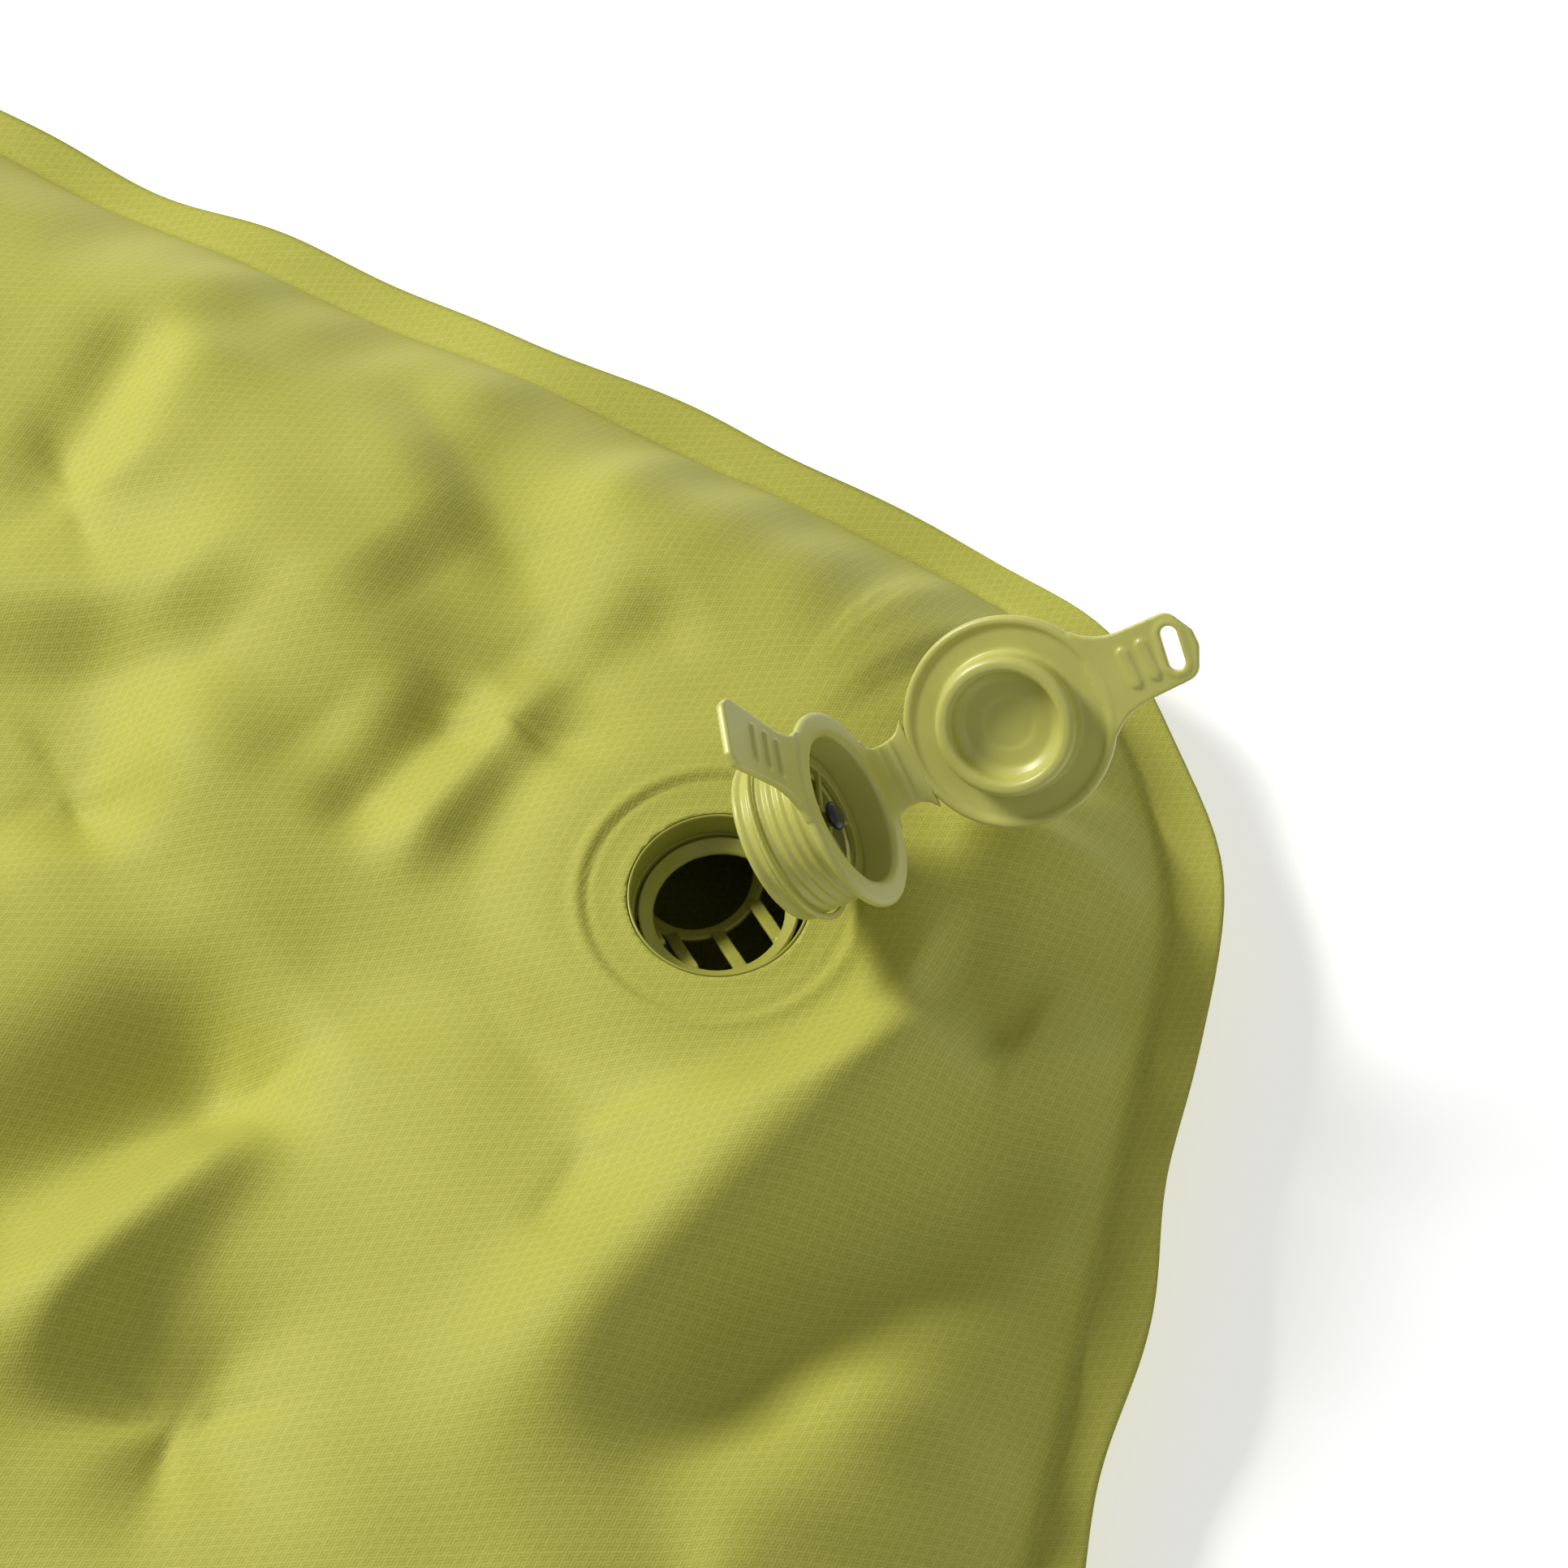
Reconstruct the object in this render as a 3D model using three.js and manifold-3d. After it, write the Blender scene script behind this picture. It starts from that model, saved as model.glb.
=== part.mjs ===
// Inflatable sleeping pad with a captive, two-stage flat valve at one head corner.
// Millimetres, +Z up. The pad lies on its underside, its length along Y, its head end at +Y.
// The valve is modelled open: stopper out of its socket and tilted, cap folded right back.
import * as THREE from "three";
import { mergeVertices } from "three/addons/utils/BufferGeometryUtils.js";
import Module from "manifold-3d";

const wasm = await Module();
wasm.setup();

// ---------- driving dimensions ----------
const PAD_LENGTH = 1830;
const SHOULDER_WIDTH = 550;
const HEAD_WIDTH = 420;
const FOOT_WIDTH = 380;
const SHOULDER_FROM_HEAD = 262;
const PAD_HEIGHT = 60;
const SEAM_HEIGHT = 20;
const FABRIC = 0.6;
const SEAM_GAP = 0.3;
const WELD_FLANGE = 12;
const TOP_ROLL = 54;
const UNDER_ROLL = 40;
const HEAD_CORNER_R = 100;
const SHOULDER_R = 420;
const FOOT_CORNER_R = 120;

const VALVE_FROM_HEAD = 118;
const VALVE_FROM_SIDE = 93;
const VALVE_TURN = 28;
const HOLE_R = 17;
const VALVE_AREA_R = 60;
const BORE_R = 16.2;
const BORE_LOWER_R = 15.6;
const BORE_STEP_Z = -6.2;
const BORE_END_Z = -13.6;
const BASE_FLANGE_R = 24.5;
const LIP_R = 16.7;

const PIVOT_R = 23.86;
const PIVOT_Z = -3.27;
const PIVOT_TURN = 8.6;
const OPEN_TILT = 57.8;
const PRESS_TRAVEL = 9.2;
const SEATED_TOP = 3.4;

const FLANGE_R = 18.5;
const FLANGE_T = 2;
const STOPPER_LEN = 16.4;
const STOPPER_R = 14.75;
const RIDGE_R = 15.2;
const RIDGES = 5;
const MOUTH_R = 13.8;
const MOUTH_DEPTH = 6.4;
const SEAT_SHELF_R = 11.6;
const LOWER_BORE_R = 13;
const COLLAR_IN_R = 15.6;
const COLLAR_OUT_R = 16.8;
const PULL_TAB_REACH = 40;

const STRAP_TURN = 37.5;
const STRAP_HINGE_R = 23.5;
const STRAP_W = 13;
const CAP_OPEN = 96;
const CAP_R = 19.7;
const CAP_GAP = 0.35;
const CAP_T = 2.1;
const BOSS_R = 12.9;
const BOSS_IN_R = 9.9;
const BOSS_DROP = 4.6;
const CAP_TAB_REACH = 37.5;

const SEAT_R = 13.4;
const FLAP_R = 10.4;
const STEM_R = 1.5;

const CAGE_R = 14.9;

const rad = (deg) => (deg * Math.PI) / 180;

// ---------- geometry helpers ----------
function signedVolume(geo) {
  const p = geo.attributes.position;
  const ix = geo.index;
  let v = 0;
  const a = new THREE.Vector3();
  const b = new THREE.Vector3();
  const c = new THREE.Vector3();
  for (let i = 0; i < ix.count; i += 3) {
    a.fromBufferAttribute(p, ix.getX(i));
    b.fromBufferAttribute(p, ix.getX(i + 1));
    c.fromBufferAttribute(p, ix.getX(i + 2));
    v += a.dot(b.cross(c));
  }
  return v / 6;
}

function clean(geometry) {
  const g = geometry.index ? geometry : geometry.clone();
  g.deleteAttribute("normal");
  g.deleteAttribute("uv");
  const m = mergeVertices(g, 1e-4);
  const keep = [];
  const ix = m.index.array;
  for (let i = 0; i < ix.length; i += 3) {
    if (ix[i] !== ix[i + 1] && ix[i + 1] !== ix[i + 2] && ix[i] !== ix[i + 2]) {
      keep.push(ix[i], ix[i + 1], ix[i + 2]);
    }
  }
  m.setIndex(keep);
  if (signedVolume(m) < 0) {
    for (let i = 0; i < keep.length; i += 3) {
      const t = keep[i + 1];
      keep[i + 1] = keep[i + 2];
      keep[i + 2] = t;
    }
    m.setIndex(keep);
  }
  return m;
}

function toSolid(geometry) {
  const g = clean(geometry);
  const vertProperties = new Float32Array(g.attributes.position.array);
  const triVerts = new Uint32Array(g.index.array);
  return new wasm.Manifold(new wasm.Mesh({ numProp: 3, vertProperties, triVerts }));
}

function fromSolid(solid) {
  const mesh = solid.getMesh();
  const g = new THREE.BufferGeometry();
  g.setAttribute("position", new THREE.BufferAttribute(new Float32Array(mesh.vertProperties), 3));
  g.setIndex(Array.from(mesh.triVerts));
  return g;
}

function lathe(profile, segments = 56) {
  const points = profile.map(([r, z]) => new THREE.Vector2(Math.max(r, 0), z));
  points.push(points[0].clone());
  const g = new THREE.LatheGeometry(points, segments);
  g.rotateX(Math.PI / 2);
  return g;
}

function drum(radius, z0, z1, segments = 48) {
  return lathe([[0, z0], [radius, z0], [radius, z1], [0, z1]], segments);
}

// A bar of width w and height h from a to b, its height along the hint.
function bar(a, b, w, h, hint) {
  const along = b.clone().sub(a);
  const length = along.length();
  along.normalize();
  const side = new THREE.Vector3().crossVectors(hint, along).normalize();
  const up = new THREE.Vector3().crossVectors(along, side);
  const g = new THREE.BoxGeometry(length, w, h);
  const m = new THREE.Matrix4().makeBasis(along, side, up);
  m.setPosition(a.clone().add(b).multiplyScalar(0.5));
  g.applyMatrix4(m);
  return g;
}

function plate(shape, z0, z1, curveSegments = 8) {
  const g = new THREE.ExtrudeGeometry(shape, { depth: z1 - z0, bevelEnabled: false, curveSegments });
  g.translate(0, 0, z0);
  return g;
}

// A rounded-end grip bar lying along Y at x, standing on the plane z0.
function gripBar(x, y, length, width, z0, z1) {
  const s = new THREE.Shape();
  const h = length / 2 - width / 2;
  s.moveTo(x - width / 2, y - h);
  s.absarc(x, y - h, width / 2, Math.PI, 2 * Math.PI, false);
  s.absarc(x, y + h, width / 2, 0, Math.PI, false);
  s.closePath();
  return plate(s, z0, z1, 5);
}

function place(geometry, matrix) {
  geometry.applyMatrix4(matrix);
  return geometry;
}

// ---------- frames ----------
// Outline of the pad, each corner with its own radius, in anticlockwise order.
const HEAD_Y = PAD_LENGTH / 2;
const OUTLINE = [
  [FOOT_WIDTH / 2, -HEAD_Y, FOOT_CORNER_R],
  [SHOULDER_WIDTH / 2, HEAD_Y - SHOULDER_FROM_HEAD, SHOULDER_R],
  [HEAD_WIDTH / 2, HEAD_Y, HEAD_CORNER_R],
  [-HEAD_WIDTH / 2, HEAD_Y, HEAD_CORNER_R],
  [-SHOULDER_WIDTH / 2, HEAD_Y - SHOULDER_FROM_HEAD, SHOULDER_R],
  [-FOOT_WIDTH / 2, -HEAD_Y, FOOT_CORNER_R],
];

function insetVertex(i, inset) {
  const n = OUTLINE.length;
  const [px, py] = OUTLINE[(i + n - 1) % n];
  const [qx, qy] = OUTLINE[i];
  const [rx, ry] = OUTLINE[(i + 1) % n];
  const d1 = new THREE.Vector2(qx - px, qy - py).normalize();
  const d2 = new THREE.Vector2(rx - qx, ry - qy).normalize();
  const n1 = new THREE.Vector2(-d1.y, d1.x);
  const n2 = new THREE.Vector2(-d2.y, d2.x);
  const sum = n1.clone().add(n2);
  const k = inset / (sum.dot(n1));
  return { at: new THREE.Vector2(qx, qy).addScaledVector(sum, k), d1, d2, n1 };
}

// The outline moved inward, always with the same number of points.
function ring(inset) {
  const arcs = OUTLINE.map(([, , r], i) => {
    const { at, d1, d2, n1 } = insetVertex(i, inset);
    const radius = Math.max(r - inset, 8);
    const turn = Math.acos(Math.min(1, d1.dot(d2)));
    const back = radius * Math.tan(turn / 2);
    const start = at.clone().addScaledVector(d1, -back);
    const centre = start.clone().addScaledVector(n1, radius);
    const from = Math.atan2(start.y - centre.y, start.x - centre.x);
    const pts = [];
    for (let k = 0; k <= 8; k += 1) {
      const a = from + (turn * k) / 8;
      pts.push(new THREE.Vector2(centre.x + radius * Math.cos(a), centre.y + radius * Math.sin(a)));
    }
    return pts;
  });
  const out = [];
  arcs.forEach((pts, i) => {
    out.push(...pts);
    const next = arcs[(i + 1) % arcs.length][0];
    const last = pts[pts.length - 1];
    for (let k = 1; k < 3; k += 1) {
      out.push(last.clone().lerp(next, k / 3));
    }
  });
  return out;
}

// Valve centre, set in from the head edge and from the tapered side edge.
const VALVE_Y = HEAD_Y - VALVE_FROM_HEAD;
const SIDE_IN = insetVertex(2, 0).n1;
const VALVE_X = HEAD_WIDTH / 2 + (VALVE_FROM_SIDE + SIDE_IN.y * VALVE_FROM_HEAD) / SIDE_IN.x;
const VALVE = new THREE.Matrix4()
  .makeRotationZ(rad(VALVE_TURN))
  .setPosition(VALVE_X, VALVE_Y, PAD_HEIGHT);

// Stopper frame: x points towards the pivot, z along the stopper, origin on its top face.
function stopperFrame(tilt, pressed) {
  const seated = new THREE.Matrix4().makeTranslation(0, 0, SEATED_TOP + PRESS_TRAVEL - pressed);
  const swing = new THREE.Matrix4()
    .makeTranslation(PIVOT_R, 0, PIVOT_Z)
    .multiply(new THREE.Matrix4().makeRotationY(rad(tilt)))
    .multiply(new THREE.Matrix4().makeTranslation(-PIVOT_R, 0, -PIVOT_Z));
  const turn = new THREE.Matrix4().makeRotationZ(rad(PIVOT_TURN));
  return VALVE.clone().multiply(turn).multiply(swing).multiply(seated);
}

const STOPPER = stopperFrame(OPEN_TILT, 0);
const COLLAR = stopperFrame(OPEN_TILT, PRESS_TRAVEL);

// Cap frame at rest: the stopper's frame swung back about the strap's fold line.
const CAP = STOPPER.clone()
  .multiply(new THREE.Matrix4().makeRotationZ(rad(STRAP_TURN)))
  .multiply(new THREE.Matrix4().makeTranslation(STRAP_HINGE_R, 0, CAP_GAP / 2))
  .multiply(new THREE.Matrix4().makeRotationY(rad(CAP_OPEN)))
  .multiply(new THREE.Matrix4().makeTranslation(-STRAP_HINGE_R, 0, CAP_GAP / 2));

// ---------- pad ----------
function rise(inset, roll) {
  const x = Math.min(1, Math.max(0, (inset - WELD_FLANGE) / roll));
  return Math.sin((Math.PI / 2) * x);
}

function panelGeometry(insets, outerZ, thickness) {
  const rings = insets.map((s) => ring(s));
  const count = rings[0].length;
  const verts = [];
  [0, thickness].forEach((dz) => {
    rings.forEach((pts, i) => {
      pts.forEach((p) => verts.push(p.x, p.y, outerZ(insets[i]) + dz));
    });
  });
  const layer = rings.length * count;
  const tris = [];
  const quad = (a, b, c, d) => tris.push(a, b, c, a, c, d);
  for (let i = 0; i + 1 < rings.length; i += 1) {
    for (let j = 0; j < count; j += 1) {
      const k = (j + 1) % count;
      const a = i * count + j;
      const b = i * count + k;
      const c = (i + 1) * count + k;
      const d = (i + 1) * count + j;
      quad(a, b, c, d);
      quad(layer + a, layer + d, layer + c, layer + b);
    }
  }
  for (let j = 0; j < count; j += 1) {
    const k = (j + 1) % count;
    quad(j, layer + j, layer + k, k);
  }
  const inner = rings[rings.length - 1];
  const base = (rings.length - 1) * count;
  THREE.ShapeUtils.triangulateShape(inner, []).forEach(([a, b, c]) => {
    tris.push(base + a, base + b, base + c);
    tris.push(layer + base + a, layer + base + c, layer + base + b);
  });
  const g = new THREE.BufferGeometry();
  g.setAttribute("position", new THREE.Float32BufferAttribute(verts, 3));
  g.setIndex(tris);
  return g;
}

function topSheet() {
  const low = SEAM_HEIGHT + SEAM_GAP / 2;
  const lift = PAD_HEIGHT - FABRIC - low;
  const insets = [0, 12, 18, 25, 33, 43, 55, WELD_FLANGE + TOP_ROLL];
  return toSolid(panelGeometry(insets, (s) => low + lift * rise(s, TOP_ROLL), FABRIC));
}

// The upper sheet is one piece of fabric, held here as two nodes that meet along a circle
// round the valve: everything outside the circle, and the disc inside it with the valve's hole.
function topPanel() {
  const circle = place(drum(VALVE_AREA_R + 0.15, -60, 5), VALVE);
  return fromSolid(topSheet().subtract(toSolid(circle)));
}

function topPanelValveArea() {
  const circle = place(drum(VALVE_AREA_R - 0.15, -60, 5), VALVE);
  const hole = place(drum(HOLE_R, -5, 5), VALVE);
  return fromSolid(topSheet().intersect(toSolid(circle)).subtract(toSolid(hole)));
}

function underPanel() {
  const high = SEAM_HEIGHT - SEAM_GAP / 2 - FABRIC;
  const insets = [0, 12, 17, 23, 30, 40, WELD_FLANGE + UNDER_ROLL];
  return panelGeometry(insets, (s) => high * (1 - rise(s, UNDER_ROLL)), FABRIC);
}

// ---------- valve socket, welded under the top panel ----------
function valveBase() {
  const under = -FABRIC - 0.3;
  const g = lathe([
    [BORE_R, -0.1],
    [LIP_R - 0.1, -0.1],
    [LIP_R, -0.2],
    [LIP_R, under],
    [BASE_FLANGE_R - 0.3, under],
    [BASE_FLANGE_R, under - 0.4],
    [BASE_FLANGE_R, under - 1],
    [17.9, under - 1],
    [17.9, BORE_STEP_Z - 1.2],
    [17.2, BORE_STEP_Z - 2],
    [17.2, BORE_END_Z],
    [BORE_LOWER_R, BORE_END_Z],
    [BORE_LOWER_R, BORE_STEP_Z - 0.3],
    [BORE_R, BORE_STEP_Z],
  ], 64);
  return place(g, VALVE);
}

// Hoop of a retaining cage: a sloping band lathed about its own axis.
function hoop(outerR, innerR, drop, thick, centre, leanX, leanY) {
  const g = lathe([
    [outerR, 0],
    [outerR, -thick],
    [innerR, -drop - thick],
    [innerR - 0.3, -drop - thick / 2],
    [innerR, -drop],
    [outerR - 0.4, 0.15],
  ], 48);
  g.rotateX(rad(leanX));
  g.rotateY(rad(leanY));
  g.translate(...centre);
  return g;
}

// The cage that keeps the stopper captive: a mouth hoop, a deeper hoop and bars between them.
function retainerCage() {
  const mouth = [-0.2, 0, -5.3];
  const deep = [-5, 14.5, -18.6];
  const solid = [
    hoop(CAGE_R, 12.4, 1.3, 1.1, mouth, 0, -3),
    hoop(13.6, 11, 1.2, 1.2, deep, 8, -9),
  ].map(toSolid);
  let cage = solid[0].add(solid[1]);
  const up = new THREE.Vector3(0, 0, 1);
  [-150, -112, -70, -28].forEach((deg) => {
    const c = Math.cos(rad(deg));
    const s = Math.sin(rad(deg));
    const a = new THREE.Vector3(mouth[0] + 12.6 * c, mouth[1] + 12.6 * s, mouth[2] - 1.9 + 0.65 * c);
    const b = new THREE.Vector3(deep[0] + 12.4 * c, deep[1] + 12.4 * s, deep[2] - 1.2 + 1.9 * c + 1.7 * s);
    cage = cage.add(toSolid(bar(a, b, 2.6, 1.1, up)));
  });
  return place(fromSolid(cage), VALVE);
}

// ---------- stopper ----------
function collar() {
  const g = lathe([
    [COLLAR_IN_R, -2.3],
    [COLLAR_OUT_R - 0.25, -2.3],
    [COLLAR_OUT_R, -2.5],
    [COLLAR_OUT_R, -2.9],
    [COLLAR_OUT_R - 0.25, -3.1],
    [COLLAR_IN_R, -3.1],
  ], 56);
  return place(g, COLLAR);
}

function stopperProfile() {
  const p = [
    [MOUTH_R, -0.5],
    [MOUTH_R + 0.6, 0],
    [FLANGE_R - 0.6, 0],
    [FLANGE_R, -0.5],
    [FLANGE_R, -FLANGE_T + 0.5],
    [FLANGE_R - 0.6, -FLANGE_T],
    [STOPPER_R + 0.2, -FLANGE_T - 0.15],
  ];
  const start = -4.2;
  const pitch = 2.05;
  for (let i = 0; i < RIDGES; i += 1) {
    const z = start - i * pitch;
    p.push([STOPPER_R, z], [RIDGE_R, z - 0.55], [RIDGE_R, z - 1.05], [STOPPER_R, z - 1.6]);
  }
  p.push([RIDGE_R - 0.1, -15.3]);
  p.push([RIDGE_R - 0.1, -15.9]);
  p.push([RIDGE_R - 0.7, -STOPPER_LEN]);
  p.push([LOWER_BORE_R + 0.3, -STOPPER_LEN]);
  p.push([LOWER_BORE_R, -STOPPER_LEN + 0.4]);
  p.push([LOWER_BORE_R, -MOUTH_DEPTH - 3.2]);
  p.push([SEAT_SHELF_R, -MOUTH_DEPTH - 2.4]);
  p.push([SEAT_SHELF_R, -MOUTH_DEPTH - 1.5]);
  p.push([MOUTH_R, -MOUTH_DEPTH - 1.5]);
  return p;
}

// Pull tab: a flared strip leaving the flange on the side away from the pivot.
function pullTabShape() {
  const s = new THREE.Shape();
  s.moveTo(-16.6, -8.2);
  s.quadraticCurveTo(-20.5, -5.8, -25, -5.9);
  s.lineTo(-PULL_TAB_REACH + 2, -6.7);
  s.quadraticCurveTo(-PULL_TAB_REACH, -6.8, -PULL_TAB_REACH, -4.8);
  s.lineTo(-PULL_TAB_REACH, 4.8);
  s.quadraticCurveTo(-PULL_TAB_REACH, 6.8, -PULL_TAB_REACH + 2, 6.7);
  s.lineTo(-25, 5.9);
  s.quadraticCurveTo(-20.5, 5.8, -16.6, 8.2);
  s.closePath();
  return s;
}

// Half of the living hinge, from radius r0 out to the fold line.
function strapShape(r0, r1) {
  const s = new THREE.Shape();
  const h = STRAP_W / 2;
  s.moveTo(r0, -h - 2.6);
  s.quadraticCurveTo(r0 + 2.6, -h - 0.2, r1, -h);
  s.lineTo(r1, h);
  s.quadraticCurveTo(r0 + 2.6, h + 0.2, r0, h + 2.6);
  s.closePath();
  return s;
}

function stopper() {
  let body = toSolid(lathe(stopperProfile(), 56));
  body = body.add(toSolid(plate(pullTabShape(), -1.75, -0.25)));
  [24.5, 28.2, 31.9].forEach((x) => {
    body = body.add(toSolid(gripBar(-x, 0, 7.4, 1.5, -0.4, 0.1)));
  });
  const strap = plate(strapShape(17.4, STRAP_HINGE_R - 0.3), -1.5, -0.3);
  strap.rotateZ(rad(STRAP_TURN));
  body = body.add(toSolid(strap));
  return place(fromSolid(body), STOPPER);
}

// ---------- one-way valve inside the stopper ----------
function checkSeat() {
  const top = -MOUTH_DEPTH;
  let seat = toSolid(lathe([[SEAT_R - 2.4, top], [SEAT_R, top], [SEAT_R, top - 1.2], [SEAT_R - 2.4, top - 1.2]], 48));
  seat = seat.add(toSolid(drum(3.1, top - 1.2, top)));
  const up = new THREE.Vector3(0, 0, 1);
  for (let i = 0; i < 6; i += 1) {
    const a = rad(60 * i + 20);
    const dir = new THREE.Vector3(Math.cos(a), Math.sin(a), 0);
    const from = dir.clone().multiplyScalar(2.4).setZ(top - 0.6);
    const to = dir.clone().multiplyScalar(SEAT_R - 1.6).setZ(top - 0.6);
    seat = seat.add(toSolid(bar(from, to, 0.9, 1.1, up)));
  }
  seat = seat.subtract(toSolid(drum(STEM_R + 0.3, top - 3, top + 1, 24)));
  return place(fromSolid(seat), STOPPER);
}

// Flexible flap under the seat, with the stem that passes up through the hub.
function checkFlap() {
  const top = -MOUTH_DEPTH;
  const g = lathe([
    [0, top + 1.4],
    [STEM_R, top + 1.4],
    [STEM_R, top - 1.5],
    [FLAP_R - 0.3, top - 1.5],
    [FLAP_R, top - 1.8],
    [FLAP_R - 0.4, top - 2.1],
    [3, top - 2.3],
    [0, top - 2.6],
  ], 40);
  return place(g, STOPPER);
}

function stemButton() {
  const z = -MOUTH_DEPTH + 1.7;
  const g = lathe([[0, z], [2.2, z], [2.7, z + 0.4], [2.7, z + 0.9], [1.9, z + 1.5], [0, z + 1.7]], 32);
  return place(g, STOPPER);
}

// ---------- cap ----------
function capTabShape() {
  const s = new THREE.Shape();
  s.moveTo(-17.5, -10);
  s.quadraticCurveTo(-20.6, -6.9, -25.5, -6.8);
  s.lineTo(-33, -6.6);
  s.quadraticCurveTo(-35, -6.6, -35.8, -5.2);
  s.lineTo(-CAP_TAB_REACH, -1.5);
  s.lineTo(-CAP_TAB_REACH, 1.5);
  s.lineTo(-35.4, 5.4);
  s.quadraticCurveTo(-34.6, 6.6, -32.6, 6.6);
  s.lineTo(-25.5, 6.8);
  s.quadraticCurveTo(-20.6, 6.9, -17.5, 10);
  s.closePath();
  const slot = new THREE.Path();
  slot.absarc(-32.6, -2.6, 1.55, Math.PI, 2 * Math.PI, false);
  slot.absarc(-33.4, 2.6, 1.55, 0, Math.PI, false);
  slot.closePath();
  s.holes.push(slot);
  return s;
}

function capProfile() {
  const top = CAP_T;
  return [
    [0, 0.15],
    [4.6, 0.15],
    [5.2, -0.1],
    [8.2, -0.1],
    [BOSS_IN_R, -1.2],
    [BOSS_IN_R + 0.1, -BOSS_DROP + 0.5],
    [BOSS_IN_R + 0.8, -BOSS_DROP],
    [BOSS_R - 0.8, -BOSS_DROP],
    [BOSS_R, -BOSS_DROP + 0.8],
    [BOSS_R, 0.3],
    [BOSS_R + 0.5, 0.75],
    [CAP_R - 1.7, 0.65],
    [CAP_R - 1.3, 0.05],
    [CAP_R - 0.5, 0],
    [CAP_R, 0.5],
    [CAP_R, top - 0.6],
    [CAP_R - 0.6, top],
    [0, top],
  ];
}

function cap() {
  let body = toSolid(lathe(capProfile(), 60));
  body = body.add(toSolid(plate(capTabShape(), 0.1, 1.7)));
  [24.4, 28.1].forEach((x) => {
    body = body.add(toSolid(gripBar(-x, 0, 7.6, 1.8, -0.35, 0.3)));
  });
  body = body.add(toSolid(plate(strapShape(18.6, STRAP_HINGE_R - 0.3), 0.1, 1.3)));
  return place(fromSolid(body), CAP);
}

// ---------- assembly ----------
const GREEN = 0xb9b858;
const PIECES = [
  ["top_panel", topPanel, GREEN],
  ["top_panel_valve_area", topPanelValveArea, GREEN],
  ["under_panel", underPanel, GREEN],
  ["valve_base", valveBase, 0xb4b45a],
  ["retainer_cage", retainerCage, 0xa9a94c],
  ["stopper_collar", collar, 0xb4b45a],
  ["stopper", stopper, 0xbcbc60],
  ["check_seat", checkSeat, 0x9c9c44],
  ["check_flap", checkFlap, 0x7a7a3a],
  ["stem_button", stemButton, 0x23262e],
  ["cap", cap, 0xbcbc60],
];

const root = new THREE.Group();
root.name = "sleeping_pad";
PIECES.forEach(([name, make, color]) => {
  const material = new THREE.MeshStandardMaterial({ color, roughness: 0.6 });
  const mesh = new THREE.Mesh(clean(make()), material);
  mesh.name = name;
  root.add(mesh);
});

export default root;
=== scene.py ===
"""Inflatable sleeping pad with an open flat valve at a head corner."""
import math

import bmesh
import bpy
import numpy as np
from mathutils import Matrix, Vector


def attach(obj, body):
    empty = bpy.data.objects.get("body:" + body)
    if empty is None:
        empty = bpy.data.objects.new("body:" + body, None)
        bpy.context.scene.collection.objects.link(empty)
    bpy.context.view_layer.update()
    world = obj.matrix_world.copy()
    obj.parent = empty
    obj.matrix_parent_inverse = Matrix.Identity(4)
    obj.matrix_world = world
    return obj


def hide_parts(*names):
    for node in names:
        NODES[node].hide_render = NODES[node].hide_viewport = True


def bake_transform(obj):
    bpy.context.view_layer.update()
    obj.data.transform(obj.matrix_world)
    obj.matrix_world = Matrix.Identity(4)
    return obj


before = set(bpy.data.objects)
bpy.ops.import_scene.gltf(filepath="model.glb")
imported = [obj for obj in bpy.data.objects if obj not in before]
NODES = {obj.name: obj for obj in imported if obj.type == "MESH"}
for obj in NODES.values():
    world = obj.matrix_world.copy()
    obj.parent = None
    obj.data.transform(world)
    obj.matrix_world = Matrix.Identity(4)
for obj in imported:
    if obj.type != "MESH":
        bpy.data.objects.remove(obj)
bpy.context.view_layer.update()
MM = 0.001

# ---------- dimensions shared with the CAD, in millimetres ----------
# Corners of the outline, as (x, y, rounding radius), on the side with the valve and mirrored.
RIGHT_SIDE = [(190, -915, 120), (275, 653, 420), (210, 915, 100)]
OUTLINE = RIGHT_SIDE + [(-x, y, r) for x, y, r in RIGHT_SIDE[::-1]]
SEAM_Z = 20.0
TOP_Z = 60.0
WELD = 12.0
VALVE_AT = (143.4555, 797.0)
HOLE_R = 17.0
VALVE_TURN = 28.0
STRAP_TURN = 37.5
FOLD_R = 23.5
# Camera, which faces along the valve's own frame.
CAMERA_ELEVATION = 60.0
FRAME_WIDTH = 286.2222
AIM_RIGHT = 11.8519
AIM_UP = 20.0


def shift(x, y, z):
    return Matrix.Translation((x, y, z))


def turn(axis, deg):
    return Matrix.Rotation(math.radians(deg), 4, axis)


VALVE = shift(VALVE_AT[0], VALVE_AT[1], TOP_Z) @ turn("Z", VALVE_TURN)
PIVOT = VALVE @ turn("Z", 8.6) @ shift(23.86, 0, -3.27)
SEATED = PIVOT @ turn("Y", 57.8) @ shift(-23.86, 0, 3.27) @ shift(0, 0, 3.4)
STOPPER = SEATED @ shift(0, 0, 9.2)
FOLD = STOPPER @ turn("Z", STRAP_TURN) @ shift(FOLD_R, 0, 0.175)
CAP = FOLD @ turn("Y", 96) @ shift(-FOLD_R, 0, 0.175)


# ---------- materials ----------
def new_material(name):
    mat = bpy.data.materials.new(name)
    mat.use_nodes = True
    nt = mat.node_tree
    return mat, nt, nt.nodes["Principled BSDF"]


def node(nt, kind, **values):
    made = nt.nodes.new(kind)
    for key, value in values.items():
        setattr(made, key, value)
    return made


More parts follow.
